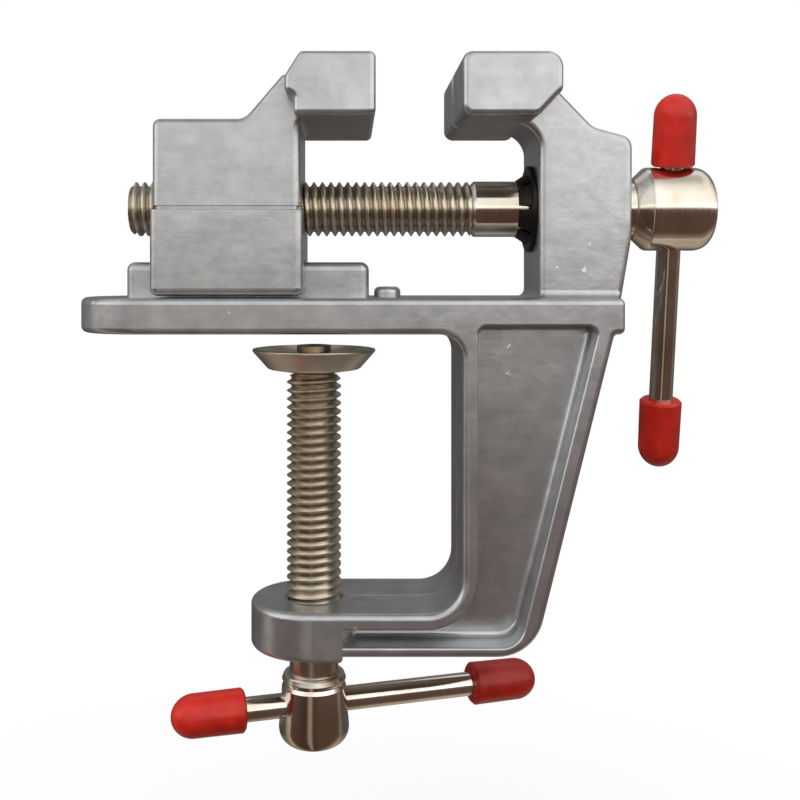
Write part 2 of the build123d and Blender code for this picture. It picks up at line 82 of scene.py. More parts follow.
# The mould line runs in the middle plane along the arm's upper face, round the corner and up the throat.
ARM_TOP_Z = -39.1 * MM
THROAT_X = 21.1 * MM
CORNER_RADIUS = 5.0 * MM
CORNER_STEPS = 12
MOULD_LINE_START_X = 5.2 * MM
MOULD_LINE_END_Z = -4.2 * MM

# CAD nodes that share a finish
CASTINGS = ("frame", "movable_jaw")
CAPS = (
    "vise_handle_upper_cap",
    "vise_handle_lower_cap",
    "clamp_handle_left_cap",
    "clamp_handle_right_cap",
)

# The tent's colours by height: 0 is straight below, 0.5 the horizon and 1 straight above.
TENT_FRONT = (
    (0.0, "40342C"),
    (0.12, "42332C"),
    (0.40, "44342F"),
    (0.487, "54433E"),
    (0.512, "A8A6A4"),
    (0.545, "FFFFFB"),
    (0.58, "FAFAF5"),
    (0.62, "D8D8D6"),
    (0.84, "D8D8D6"),
    (0.93, "C4C4C2"),
    (1.0, "787978"),
)
TENT_BACK = (
    (0.0, "5A5048"),
    (0.03, "8A8075"),
    (0.12, "847C72"),
    (0.28, "3E3A38"),
    (0.45, "484644"),
    (0.50, "5A5857"),
    (0.66, "626160"),
    (0.84, "5E5E5E"),
    (0.89, "B4B6B7"),
    (0.95, "B4B6B7"),
    (0.975, "828382"),
    (1.0, "787978"),
)

# Cream strips on the tent below the horizon, by turn: 0.5 is straight in front and 0.75 on the right.
# Each row says where a strip starts, is full, begins to fade and ends, and then its share of the colour.
TENT_STRIPS = (
    (0.20, 0.215, 0.265, 0.28, 0.55),
    (0.442, 0.454, 0.484, 0.494, 0.35),
    (0.75, 0.77, 0.83, 0.85, 0.40),
)
STRIP_COLOUR = "D8CDBB"

# The share of its shadow that the floor shows the camera, and its grey for all other light
FLOOR_SHADOW_SHARE = 0.12
FLOOR_GREY = 0.16

# How far the peel moves the lacquer's roughness, and a tool mark the plate's
PEEL_ROUGHNESS = (-0.005, 0.02)
MARK_ROUGHNESS = (-0.03, 0.05)

# The key lamp hangs in front, high on the left. Both are in metres.
KEY_LAMP_PLACE = (-0.16, -0.34, 0.36)
KEY_LAMP_SIZE = (0.45, 0.3)

# Numbers of the Mix node's sockets, which share their names
SHARE = 0
NUMBER_A = 2
NUMBER_B = 3
COLOUR_A = 6
COLOUR_B = 7
MIXED_NUMBER = 0
MIXED_COLOUR = 2


def linear(code):
    """An sRGB hex colour as linear red, green and blue."""
    colour = []
    for place in (0, 2, 4):
        value = int(code[place:place + 2], 16) / 255
        colour.append(value / 12.92 if value <= 0.04045 else ((value + 0.055) / 1.055) ** 2.4)
    return tuple(colour)


def grey(value):
    """A linear grey."""
    return (value, value, value)


def with_alpha(colour):
    """A colour with full opacity, as a colour socket wants it."""
    return (colour[0], colour[1], colour[2], 1.0)


def add_node(tree, kind, inputs=None, stops=None, **settings):
    """Adds a node with its settings, its input values or links, and a ramp's stops."""
    node = tree.nodes.new(kind)
    for name, value in settings.items():
        setattr(node, name, value)
    for socket, value in (inputs or {}).items():
        if isinstance(value, bpy.types.NodeSocket):
            tree.links.new(value, node.inputs[socket])
        else:
            node.inputs[socket].default_value = value
    for number, (position, colour) in enumerate(stops or []):
        elements = node.color_ramp.elements
        stop = elements[number] if number < 2 else elements.new(position)
        stop.position = position
        stop.color = with_alpha(colour)
    return node


def new_material(name):
    """An empty node material, with its tree, its surface shader and the piece's own coordinates."""
    material = bpy.data.materials.new(name)
    material.use_nodes = True
    tree = material.node_tree
    tree.nodes.clear()
    shader = add_node(tree, "ShaderNodeBsdfPrincipled")
    add_node(tree, "ShaderNodeOutputMaterial", {"Surface": shader.outputs["BSDF"]})
    place = add_node(tree, "ShaderNodeTexCoord").outputs["Object"]
    return material, tree, shader, place


def per_metre(millimetres):
    """The scale that gives a pattern this size."""
    return 1 / (millimetres * MM)


def lacquered_casting(settings):
    """Aluminium die casting under satin silver-grey lacquer.

    The flakes in the lacquer make it mirror its surroundings softly. The casting's skin shows through as
    shallow ripples, and streaks from dressing the flash off run along it. Here and there the lacquer is
    knocked off a high point, which is bare and light.
    """
    material, tree, shader, place = new_material("lacquered_die_casting")
    ripple = add_node(tree, "ShaderNodeTexNoise", {
        "Vector": place,
        "Scale": per_metre(settings.ripple_size),
        "Detail": 3.0,
        "Roughness": 0.55,
    })
    peel = add_node(tree, "ShaderNodeTexNoise", {
        "Vector": place,
        "Scale": per_metre(settings.peel_size),
        "Detail": 1.0,
        "Roughness": 0.5,
    })
    lengthwise = per_metre(settings.streak_length)
    along = add_node(tree, "ShaderNodeMapping", {
        "Vector": place,
        "Scale": (lengthwise, lengthwise, per_metre(settings.streak_width)),
    })
    streak = add_node(tree, "ShaderNodeTexNoise", {
        "Vector": along.outputs["Vector"],
        "Scale": 1.0,
        "Detail": 3.0,
        "Roughness": 0.6,
        "Distortion": 0.4,
    })
    faint_streak = add_node(tree, "ShaderNodeMath", {
        0: streak.outputs["Fac"],
        1: settings.streak_share,
    }, operation="MULTIPLY")
    shade = add_node(tree, "ShaderNodeMath", {
        0: ripple.outputs["Fac"],
        1: faint_streak.outputs["Value"],
    }, operation="ADD")
    tone = add_node(tree, "ShaderNodeMapRange", {
        "Value": shade.outputs["Value"],
        "From Min": 0.45,
        "From Max": 0.9,
    })
    colour = add_node(tree, "ShaderNodeMix", {
        SHARE: tone.outputs["Result"],
        COLOUR_A: with_alpha(settings.dull_colour),
        COLOUR_B: with_alpha(settings.lacquer_colour),
    }, data_type="RGBA")

    # The specks are cells of uneven outline, most of which stay empty away from the worn place.
    bent = add_node(tree, "ShaderNodeVectorMath", {
        0: peel.outputs["Color"],
        1: grey(settings.speck_size * MM),
        2: place,
    }, operation="MULTIPLY_ADD")
    cell = add_node(tree, "ShaderNodeTexVoronoi", {
        "Vector": bent.outputs["Vector"],
        "Scale": per_metre(settings.speck_spacing),
    })
    speck_share = settings.speck_size / settings.speck_spacing
    speck = add_node(tree, "ShaderNodeMapRange", {
        "Value": cell.outputs["Distance"],
        "From Min": 0.3 * speck_share,
        "From Max": 0.6 * speck_share,
        "To Min": 1.0,
        "To Max": 0.0,
    })
    chosen = add_node(tree, "ShaderNodeSeparateColor", {"Color": cell.outputs["Color"]})
    from_worn = add_node(tree, "ShaderNodeVectorMath", {
        0: place,
        1: tuple(settings.worn_place),
    }, operation="DISTANCE")
    limit = add_node(tree, "ShaderNodeMapRange", {
        "Value": from_worn.outputs["Value"],
        "From Min": settings.worn_radius,
        "From Max": settings.worn_edge,
        "To Min": 1 - settings.worn_frequency,
        "To Max": 1 - settings.speck_frequency,
    })
    rare = add_node(tree, "ShaderNodeMath", {
        0: chosen.outputs["Red"],
        1: limit.outputs["Result"],
    }, operation="GREATER_THAN")
    shown = add_node(tree, "ShaderNodeMath", {
        0: speck.outputs["Result"],
        1: rare.outputs["Value"],
    }, operation="MULTIPLY")
    specked = add_node(tree, "ShaderNodeMix", {
        SHARE: shown.outputs["Value"],
        COLOUR_A: colour.outputs[MIXED_COLOUR],
        COLOUR_B: with_alpha(settings.speck_colour),
    }, data_type="RGBA")

    roughness = add_node(tree, "ShaderNodeMapRange", {
        "Value": peel.outputs["Fac"],
        "From Min": 0.3,
        "From Max": 0.7,
        "To Min": settings.gloss_roughness + PEEL_ROUGHNESS[0],
        "To Max": settings.gloss_roughness + PEEL_ROUGHNESS[1],
    })
    rippled = add_node(tree, "ShaderNodeBump", {
        "Strength": 0.4,
        "Distance": settings.ripple_depth * MM,
        "Height": ripple.outputs["Fac"],
    })
    peeled = add_node(tree, "ShaderNodeBump", {
        "Strength": 0.15,
        "Distance": settings.peel_depth * MM,
        "Height": peel.outputs["Fac"],
        "Normal": rippled.outputs["Normal"],
    })
    dressed = add_node(tree, "ShaderNodeBump", {
        "Strength": 0.15,
        "Distance": settings.streak_depth * MM,
        "Height": streak.outputs["Fac"],
        "Normal": peeled.outputs["Normal"],
    })
    raised = add_node(tree, "ShaderNodeBump", {
        "Strength": 0.3,
        "Distance": settings.speck_height * MM,
        "Height": shown.outputs["Value"],
        "Normal": dressed.outputs["Normal"],
    })
    tree.links.new(specked.outputs[MIXED_COLOUR], shader.inputs["Base Color"])
    tree.links.new(roughness.outputs["Result"], shader.inputs["Roughness"])
    tree.links.new(raised.outputs["Normal"], shader.inputs["Normal"])
    shader.inputs["Metallic"].default_value = settings.flake_share
    return material


def rounded_normal(tree, across, axis, share):
    """The normal of a rolled thread.

    It leans outward, as round crests do, but not on the screw's end faces, whose normals lie along the axis.
    """
    outward = add_node(tree, "ShaderNodeVectorMath", {0: across}, operation="NORMALIZE")
    world_outward = add_node(tree, "ShaderNodeVectorTransform", {
        "Vector": outward.outputs["Vector"],
    }, vector_type="NORMAL", convert_from="OBJECT", convert_to="WORLD")
    normal = add_node(tree, "ShaderNodeNewGeometry").outputs["Normal"]
    along = add_node(tree, "ShaderNodeVectorMath", {0: normal, 1: axis}, operation="DOT_PRODUCT")
    endwise = add_node(tree, "ShaderNodeMath", {0: along.outputs["Value"]}, operation="ABSOLUTE")
    lean = add_node(tree, "ShaderNodeMapRange", {
        "Value": endwise.outputs["Value"],
        "From Min": 0.9,
        "From Max": 0.97,
        "To Min": share,
        "To Max": 0.0,
    })
    leaned = add_node(tree, "ShaderNodeVectorMath", {
        0: world_outward.outputs["Vector"],
        "Scale": lean.outputs["Result"],
    }, operation="SCALE")
    total = add_node(tree, "ShaderNodeVectorMath", {0: normal, 1: leaned.outputs["Vector"]}, operation="ADD")
    return add_node(tree, "ShaderNodeVectorMath", {
        0: total.outputs["Vector"],
    }, operation="NORMALIZE").outputs["Vector"]


def nickel_plate(name, settings, axis, centre=ORIGIN, drawn=False, threaded=False, gloss=1.0):
    """Bright nickel over turned or drawn steel.

    Fine tool marks run round a turned piece and along a drawn one, and the plate has a warm cast. A thread's
    roots are painted darker, as painted shade in its grooves. The axis is the piece's own, and a gloss under
    1 makes the plate satin.
    """
    material, tree, shader, place = new_material(name)
    centred = add_node(tree, "ShaderNodeMapping", {"Vector": place, "Location": tuple(-Vector(centre))})
    mark_length = per_metre(settings.tool_mark_length)
    mark_pitch = per_metre(settings.tool_mark_pitch)
    marked = add_node(tree, "ShaderNodeMapping", {
        "Vector": centred.outputs["Vector"],
        "Scale": tuple(mark_length if bool(share) == drawn else mark_pitch for share in axis),
    })
    marks = add_node(tree, "ShaderNodeTexNoise", {
        "Vector": marked.outputs["Vector"],
        "Scale": 1.0,
        "Detail": 2.0,
        "Roughness": 0.5,
    })
    cloud = add_node(tree, "ShaderNodeTexNoise", {
        "Vector": place,
        "Scale": per_metre(settings.cloud_size),
        "Detail": 2.0,
        "Roughness": 0.5,
    })
    tone = add_node(tree, "ShaderNodeMapRange", {
        "Value": cloud.outputs["Fac"],
        "From Min": 0.35,
        "From Max": 0.65,
    })
    colour = add_node(tree, "ShaderNodeMix", {
        SHARE: tone.outputs["Result"],
        COLOUR_A: with_alpha(settings.warm_colour),
        COLOUR_B: with_alpha(settings.nickel_colour),
    }, data_type="RGBA").outputs[MIXED_COLOUR]
    roughness = add_node(tree, "ShaderNodeMapRange", {
        "Value": marks.outputs["Fac"],
        "From Min": 0.3,
        "From Max": 0.7,
        "To Min": settings.nickel_roughness / gloss + MARK_ROUGHNESS[0],
        "To Max": settings.nickel_roughness / gloss + MARK_ROUGHNESS[1],
    }).outputs["Result"]
    bump = add_node(tree, "ShaderNodeBump", {
        "Strength": 0.25,
        "Distance": settings.tool_mark_depth * MM,
        "Height": marks.outputs["Fac"],
    })
    if threaded:
        flat = add_node(tree, "ShaderNodeVectorMath", {
            0: centred.outputs["Vector"],
            1: tuple(0.0 if share else 1.0 for share in axis),
        }, operation="MULTIPLY")
        radius = add_node(tree, "ShaderNodeVectorMath", {0: flat.outputs["Vector"]}, operation="LENGTH")
        # Painted shade in the thread's grooves: the colour darkens from the crest towards the root
        height = add_node(tree, "ShaderNodeMapRange", {
            "Value": radius.outputs["Value"],
            "From Min": THREAD_ROOT_RADIUS,
            "From Max": THREAD_CREST_RADIUS,
        })
        colour = add_node(tree, "ShaderNodeMix", {
            SHARE: height.outputs["Result"],
            COLOUR_A: with_alpha(settings.root_shade_colour),
            COLOUR_B: colour,
        }, data_type="RGBA").outputs[MIXED_COLOUR]
        plain = add_node(tree, "ShaderNodeMath", {
            0: radius.outputs["Value"],
            1: THREAD_CREST_RADIUS + THREAD_MARGIN,
        }, operation="GREATER_THAN")
        roughness = add_node(tree, "ShaderNodeMix", {
            SHARE: plain.outputs["Value"],
            NUMBER_A: settings.thread_roughness,
            NUMBER_B: roughness,
        }).outputs[MIXED_NUMBER]
        normal = rounded_normal(tree, flat.outputs["Vector"], axis, settings.crest_rounding)
        tree.links.new(normal, bump.inputs["Normal"])
    tree.links.new(colour, shader.inputs["Base Color"])
    tree.links.new(roughness, shader.inputs["Roughness"])
    tree.links.new(bump.outputs["Normal"], shader.inputs["Normal"])
    shader.inputs["Metallic"].default_value = 1.0
    return material


def blackened_spring_steel(settings):
    """Spring steel with a black oxide skin: a dull sheen, and browner where the oxide is thin."""
    material, tree, shader, place = new_material("blackened_spring_steel")
    cloud = add_node(tree, "ShaderNodeTexNoise", {
        "Vector": place,
        "Scale": per_metre(settings.oxide_size),
        "Detail": 3.0,
    })
    colour = add_node(tree, "ShaderNodeMix", {
        SHARE: cloud.outputs["Fac"],
        COLOUR_A: with_alpha(settings.oxide_colour),
        COLOUR_B: with_alpha(settings.thin_oxide_colour),
    }, data_type="RGBA")
    bump = add_node(tree, "ShaderNodeBump", {
        "Strength": 0.3,
        "Distance": settings.oxide_depth * MM,
        "Height": cloud.outputs["Fac"],
    })
    tree.links.new(colour.outputs[MIXED_COLOUR], shader.inputs["Base Color"])
    tree.links.new(bump.outputs["Normal"], shader.inputs["Normal"])
    shader.inputs["Metallic"].default_value = 0.7
    shader.inputs["Roughness"].default_value = settings.oxide_roughness
    return material


def dipped_vinyl(settings):
    """Soft red vinyl, dipped: smooth and glossy, a little see-through, with faint runs from the dip."""
    material, tree, shader, place = new_material("dipped_red_vinyl")
    runs = add_node(tree, "ShaderNodeTexNoise", {
        "Vector": place,
        "Scale": per_metre(settings.run_size),
        "Detail": 2.0,
        "Roughness": 0.5,
    })
    tone = add_node(tree, "ShaderNodeMapRange", {
        "Value": runs.outputs["Fac"],
        "From Min": 0.35,
        "From Max": 0.65,
    })
    colour = add_node(tree, "ShaderNodeMix", {
        SHARE: tone.outputs["Result"],
        COLOUR_A: with_alpha(settings.deep_colour),
        COLOUR_B: with_alpha(settings.vinyl_colour),
    }, data_type="RGBA")
    bump = add_node(tree, "ShaderNodeBump", {
        "Strength": 0.3,
        "Distance": settings.run_depth * MM,
        "Height": runs.outputs["Fac"],
    })
    tree.links.new(colour.outputs[MIXED_COLOUR], shader.inputs["Base Color"])
    tree.links.new(bump.outputs["Normal"], shader.inputs["Normal"])
    shader.inputs["Roughness"].default_value = settings.vinyl_roughness
    shader.inputs["Subsurface Weight"].default_value = 0.12
    shader.inputs["Subsurface Radius"].default_value = (1.0, 0.25, 0.2)
    shader.inputs["Subsurface Scale"].default_value = 0.8 * MM
    return material


def dress(node, material):
    """Gives a CAD node its finish."""
    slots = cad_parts[node].data.materials
    slots.clear()
    slots.append(material)


def grown_mesh(name, body, source, tree, values):
    """Runs a node tree on a source object and keeps the result as a plain mesh that rides on a body."""
    modifier = source.modifiers.new(name, "NODES")
    modifier.node_group = tree
    for item in tree.interface.items_tree:
        if item.item_type == "SOCKET" and item.in_out == "INPUT" and item.name in values:
            modifier[item.identifier] = values[item.name]
    bpy.context.view_layer.update()
    evaluated = source.evaluated_get(bpy.context.evaluated_depsgraph_get())
    mesh = bpy.data.meshes.new_from_object(evaluated)
    mesh.name = name
    bpy.data.objects.remove(source)
    piece = bpy.data.objects.new(name, mesh)
    bpy.context.scene.collection.objects.link(piece)
    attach(piece, body)
    return piece


def new_tree(name, inputs):
    """A geometry node tree with a geometry input and output and the named inputs."""
    tree = bpy.data.node_groups.new(name, "GeometryNodeTree")
    tree.interface.new_socket("Geometry", in_out="INPUT", socket_type="NodeSocketGeometry")
    for label, kind in inputs:
        tree.interface.new_socket(label, in_out="INPUT", socket_type=kind)
    tree.interface.new_socket("Geometry", in_out="OUTPUT", socket_type="NodeSocketGeometry")
    given = add_node(tree, "NodeGroupInput").outputs
    return tree, given


def end_tree(tree, geometry, material):
    """Makes the instances real, gives them their material and ends the tree."""
    real = add_node(tree, "GeometryNodeRealizeInstances", {"Geometry": geometry})
    painted = add_node(tree, "GeometryNodeSetMaterial", {
        "Geometry": real.outputs["Geometry"],
        "Material": material,
    })
    add_node(tree, "NodeGroupOutput", {"Geometry": painted.outputs["Geometry"]})


def mould_line_tree(material):
    """A low bead along a path, as two mould halves leave it."""
    tree, given = new_tree("mould_line", [("Radius", "NodeSocketFloat"), ("Sides", "NodeSocketInt")])
    section = add_node(tree, "GeometryNodeCurvePrimitiveCircle", {
        "Resolution": given["Sides"],
        "Radius": given["Radius"],
    })
    bead = add_node(tree, "GeometryNodeCurveToMesh", {
        "Curve": given["Geometry"],
        "Profile Curve": section.outputs["Curve"],
        "Fill Caps": True,
    })
    end_tree(tree, bead.outputs["Mesh"], material)
    return tree


def mould_line_points(sunk):
    """The mould line's path, this far under the casting's faces."""
    arm_top = ARM_TOP_Z - sunk
    throat = THROAT_X + sunk
    points = [(MOULD_LINE_START_X, 0, arm_top)]
    for step in range(CORNER_STEPS + 1):
        angle = math.radians(90 * step / CORNER_STEPS)
        x = throat - CORNER_RADIUS + CORNER_RADIUS * math.sin(angle)
        z = arm_top + CORNER_RADIUS - CORNER_RADIUS * math.cos(angle)
        points.append((x, 0, z))
    points.append((throat, 0, MOULD_LINE_END_Z))
    return points


def path_object(points):
    """An open path of straight runs through points, in metres."""
    curve = bpy.data.curves.new("path", "CURVE")
    curve.dimensions = "3D"
    spline = curve.splines.new("POLY")
    spline.points.add(len(points) - 1)
    for point, place in zip(spline.points, points):
        point.co = (place[0], place[1], place[2], 1.0)
    path = bpy.data.objects.new("path", curve)
    bpy.context.scene.collection.objects.link(path)
    return path


class CastingSettings(bpy.types.PropertyGroup):
    """The castings' finish."""

    lacquer_colour: FloatVectorProperty(
        name="Lacquer", description="Silver-grey of the lacquer", subtype="COLOR", default=linear("CACBCD"))
    dull_colour: FloatVectorProperty(
        name="Dull lacquer", description="The lacquer where it lies thin", subtype="COLOR",
        default=linear("B3B4B6"))
    flake_share: FloatProperty(
        name="Flake share", description="How metallic the lacquer looks", default=0.87, min=0, max=1)
    gloss_roughness: FloatProperty(
        name="Roughness", description="Roughness of the lacquer", default=0.285, min=0, max=1)
    ripple_size: FloatProperty(
        name="Ripple size", description="Width of the skin's ripples in mm", default=3.5)
    ripple_depth: FloatProperty(
        name="Ripple depth", description="Depth of the skin's ripples in mm", default=0.12)
    peel_size: FloatProperty(
        name="Peel size", description="Width of the lacquer's peel in mm", default=0.45)
    peel_depth: FloatProperty(
        name="Peel depth", description="Depth of the lacquer's peel in mm", default=0.02)
    streak_length: FloatProperty(
        name="Streak length", description="Length of a dressing streak in mm", default=7.0)
    streak_width: FloatProperty(
        name="Streak width", description="Width of a dressing streak in mm", default=0.7)
    streak_depth: FloatProperty(
        name="Streak depth", description="Depth of a dressing streak in mm", default=0.02)
    streak_share: FloatProperty(
        name="Streak share", description="How much the streaks add to the tone", default=0.35, min=0, max=1)
    speck_colour: FloatVectorProperty(
        name="Speck", description="Bare metal where the lacquer is gone", subtype="COLOR",
        default=linear("E9ECEC"))
    speck_spacing: FloatProperty(
        name="Speck spacing", description="Distance between cells in mm", default=2.2)
    speck_size: FloatProperty(
        name="Speck size", description="Width of a speck in mm", default=0.8)
    speck_height: FloatProperty(
        name="Speck height", description="Height of a speck's high point in mm", default=0.05)
    speck_frequency: FloatProperty(
        name="Speck frequency", description="Share of the cells that hold a speck", default=0.03,
        min=0, max=1)
    worn_frequency: FloatProperty(
        name="Worn frequency", description="The same share at the worn place", default=0.65, min=0, max=1)
    worn_place: FloatVectorProperty(
        name="Worn place", description="Where most specks lie", subtype="XYZ",
        default=(38 * MM, -9.5 * MM, 11 * MM))
    worn_radius: FloatProperty(
        name="Worn radius", description="How far the worn place reaches", default=3.0 * MM, unit="LENGTH")
    worn_edge: FloatProperty(
        name="Worn edge", description="Where the worn place has faded out", default=5.0 * MM, unit="LENGTH")
    mould_line_radius: FloatProperty(
        name="Mould line", description="Radius of the mould line's bead", default=0.12 * MM, unit="LENGTH")
    mould_line_sunk: FloatProperty(
        name="Mould line sunk", description="How deep the bead's middle lies", default=0.07 * MM,
        unit="LENGTH")
    mould_line_sides: IntProperty(
        name="Mould line sides", description="Sides of the bead's section", default=10)


class MetalSettings(bpy.types.PropertyGroup):
    """The plated and the blackened steel."""

    nickel_colour: FloatVectorProperty(
        name="Nickel", description="The plate's own colour", subtype="COLOR", default=linear("E4DFD6"))
    warm_colour: FloatVectorProperty(
        name="Warm nickel", description="The plate where it is tarnished", subtype="COLOR",
        default=linear("D2C6B2"))
    # Painted shade: the colour a thread darkens to towards its roots, standing in for the shade in its
    # grooves
    root_shade_colour: FloatVectorProperty(
        name="Root shade", description="Painted shade in a thread's root", subtype="COLOR", default=linear("A8977C"))
    nickel_roughness: FloatProperty(
        name="Roughness", description="Roughness of the plate", default=0.12, min=0, max=1)
    pad_gloss: FloatProperty(
        name="Pad gloss", description="Gloss of the clamp pad, where the bars have 1", default=0.38,
        min=0.1, max=1)
    thread_roughness: FloatProperty(
        name="Thread roughness", description="Roughness of a rolled thread", default=0.28, min=0, max=1)
    crest_rounding: FloatProperty(
        name="Crest rounding", description="How round a rolled thread's crests look", default=0.6, min=0)
    tool_mark_length: FloatProperty(
        name="Tool mark length", description="Length of a tool mark in mm", default=9.0)
    tool_mark_pitch: FloatProperty(
        name="Tool mark pitch", description="Spacing of tool marks in mm", default=0.16)
    tool_mark_depth: FloatProperty(
        name="Tool mark depth", description="Depth of a tool mark in mm", default=0.01)
    cloud_size: FloatProperty(
        name="Tarnish size", description="Width of a tarnished patch in mm", default=6.0)
    oxide_colour: FloatVectorProperty(
        name="Oxide", description="Black oxide", subtype="COLOR", default=linear("1B1A1A"))
    thin_oxide_colour: FloatVectorProperty(
        name="Thin oxide", description="Black oxide where it is thin", subtype="COLOR",
        default=linear("2E2824"))
    oxide_roughness: FloatProperty(
        name="Oxide roughness", description="Roughness of the oxide", default=0.42, min=0, max=1)
    oxide_size: FloatProperty(
        name="Oxide patch", description="Width of an oxide patch in mm", default=0.8)
    oxide_depth: FloatProperty(
        name="Oxide depth", description="Unevenness of the oxide in mm", default=0.02)


class CapSettings(bpy.types.PropertyGroup):
    """The vinyl caps' finish."""

    vinyl_colour: FloatVectorProperty(
        name="Vinyl", description="Red of the vinyl", subtype="COLOR", default=linear("E62A16"))
    deep_colour: FloatVectorProperty(
        name="Deep vinyl", description="Red where the vinyl is thick", subtype="COLOR",
        default=linear("D01E0E"))
    vinyl_roughness: FloatProperty(
        name="Roughness", description="Roughness of the vinyl", default=0.34, min=0, max=1)
    run_size: FloatProperty(
        name="Run size", description="Width of a run in the vinyl in mm", default=2.2)
    run_depth: FloatProperty(
        name="Run depth", description="Depth of a run in the vinyl in mm", default=0.08)


class StudioSettings(bpy.types.PropertyGroup):
    """The camera, the floor, the light tent and the lamp."""

    camera_distance: FloatProperty(
        name="Camera distance", description="From the middle plane", default=158.8 * MM, unit="LENGTH")
    camera_side: FloatProperty(
        name="Camera side", description="Camera's place along X", default=5.33 * MM, unit="LENGTH")
    camera_height: FloatProperty(
        name="Camera height", description="Above the plate's underside", default=9.2 * MM, unit="LENGTH")
    floor_drop: FloatProperty(
        name="Floor drop", description="From the vise at rest, to clear the lowered screw", default=42 * MM,
        unit="LENGTH")
    floor_half: FloatProperty(
        name="Floor half width", description="Half the floor's width", default=0.4, unit="LENGTH")
    shadow_reach: FloatProperty(
        name="Shadow reach", description="Where the floor's shadow fades out", default=0.16, unit="LENGTH")
    tent_radius: FloatProperty(
        name="Tent radius", description="Radius of the light tent", default=1.5, unit="LENGTH")
    key_power: FloatProperty(
        name="Key lamp", description="Power of the key lamp in watts", default=1.5)
    fill_level: FloatProperty(
        name="Fill", description="Level of the light from all round", default=0.5)
    tent_level: FloatProperty(
        name="Tent", description="Level of the light tent's white", default=1.55)


class VISE_OT_castings(bpy.types.Operator):
    """Finish the frame and the movable jaw in satin lacquer"""

    bl_idname = "vise.castings"
    bl_label = "Castings"

    def execute(self, context):
        material = lacquered_casting(context.scene.vise_casting)
        for node in CASTINGS:
            dress(node, material)
        return {"FINISHED"}


class VISE_OT_mould_lines(bpy.types.Operator):
    """Add the low mould line along the inside of the C frame"""

    bl_idname = "vise.mould_lines"
    bl_label = "Mould lines"

    def execute(self, context):
        settings = context.scene.vise_casting
        tree = mould_line_tree(bpy.data.materials["lacquered_die_casting"])
        path = path_object(mould_line_points(settings.mould_line_sunk))
        grown_mesh("arm_mould_line", "frame", path, tree, {
            "Radius": settings.mould_line_radius,
            "Sides": settings.mould_line_sides,
        })
        return {"FINISHED"}


class VISE_OT_screws(bpy.types.Operator):
    """Finish both screws in bright nickel"""

    bl_idname = "vise.screws"
    bl_label = "Screws"

    def execute(self, context):
        settings = context.scene.vise_metal
        centre = (0, 0, SCREW_AXIS_Z)
        lying = nickel_plate("nickel_plated_vise_screw", settings, X_AXIS, centre, threaded=True)
        upright = nickel_plate("nickel_plated_clamp_screw", settings, Z_AXIS, threaded=True)
        dress("vise_screw", lying)
        dress("clamp_screw", upright)
        return {"FINISHED"}


class VISE_OT_pad(bpy.types.Operator):
    """Finish the swivel pad in satin nickel"""

    bl_idname = "vise.pad"
    bl_label = "Clamp pad"

    def execute(self, context):
        settings = context.scene.vise_metal
        dress("clamp_pad", nickel_plate("nickel_plated_pad", settings, Z_AXIS, gloss=settings.pad_gloss))
        return {"FINISHED"}


class VISE_OT_washer(bpy.types.Operator):
    """Finish the retaining washer in black oxide"""

    bl_idname = "vise.washer"
    bl_label = "Retaining washer"

    def execute(self, context):
        dress("retaining_washer", blackened_spring_steel(context.scene.vise_metal))
        return {"FINISHED"}


class VISE_OT_bars(bpy.types.Operator):
    """Finish both handle bars in drawn and plated steel"""

    bl_idname = "vise.bars"
    bl_label = "Handle bars"

    def execute(self, context):
        settings = context.scene.vise_metal
        lying = nickel_plate("nickel_plated_lying_bar", settings, X_AXIS, drawn=True)
        upright = nickel_plate("nickel_plated_upright_bar", settings, Z_AXIS, drawn=True)
        dress("clamp_handle_bar", lying)
        dress("vise_handle_bar", upright)
        return {"FINISHED"}


class VISE_OT_caps(bpy.types.Operator):
    """Finish the four caps in dipped red vinyl"""

    bl_idname = "vise.caps"
    bl_label = "Caps"

    def execute(self, context):
        material = dipped_vinyl(context.scene.vise_caps)
        for node in CAPS:
            dress(node, material)
        return {"FINISHED"}


def lit_world(level):
    """White where the camera, a mirror or glass looks, and a plain grey fill for the light itself."""
    world = bpy.data.worlds.new("studio")
    world.use_nodes = True
    tree = world.node_tree
    tree.nodes.clear()
    path = add_node(tree, "ShaderNodeLightPath").outputs
    seen = add_node(tree, "ShaderNodeMath", {
        0: path["Is Camera Ray"],
        1: path["Is Glossy Ray"],
    }, operation="MAXIMUM")
    shown = add_node(tree, "ShaderNodeMath", {
        0: seen.outputs["Value"],
        1: path["Is Transmission Ray"],
    }, operation="MAXIMUM")
    colour = add_node(tree, "ShaderNodeMix", {
        SHARE: shown.outputs["Value"],
        COLOUR_A: with_alpha(grey(level)),
        COLOUR_B: with_alpha(grey(1)),
    }, data_type="RGBA")
    background = add_node(tree, "ShaderNodeBackground", {"Color": colour.outputs[MIXED_COLOUR]})
    add_node(tree, "ShaderNodeOutputWorld", {"Surface": background.outputs["Background"]})
    bpy.context.scene.world = world


def strip_stops():
    """Stops of a ramp that rises to each strip's share and falls back to nothing."""
    stops = []
    for start, full, fading, end, share in TENT_STRIPS:
        stops += [(start, grey(0)), (full, grey(share)), (fading, grey(share)), (end, grey(0))]
    return stops


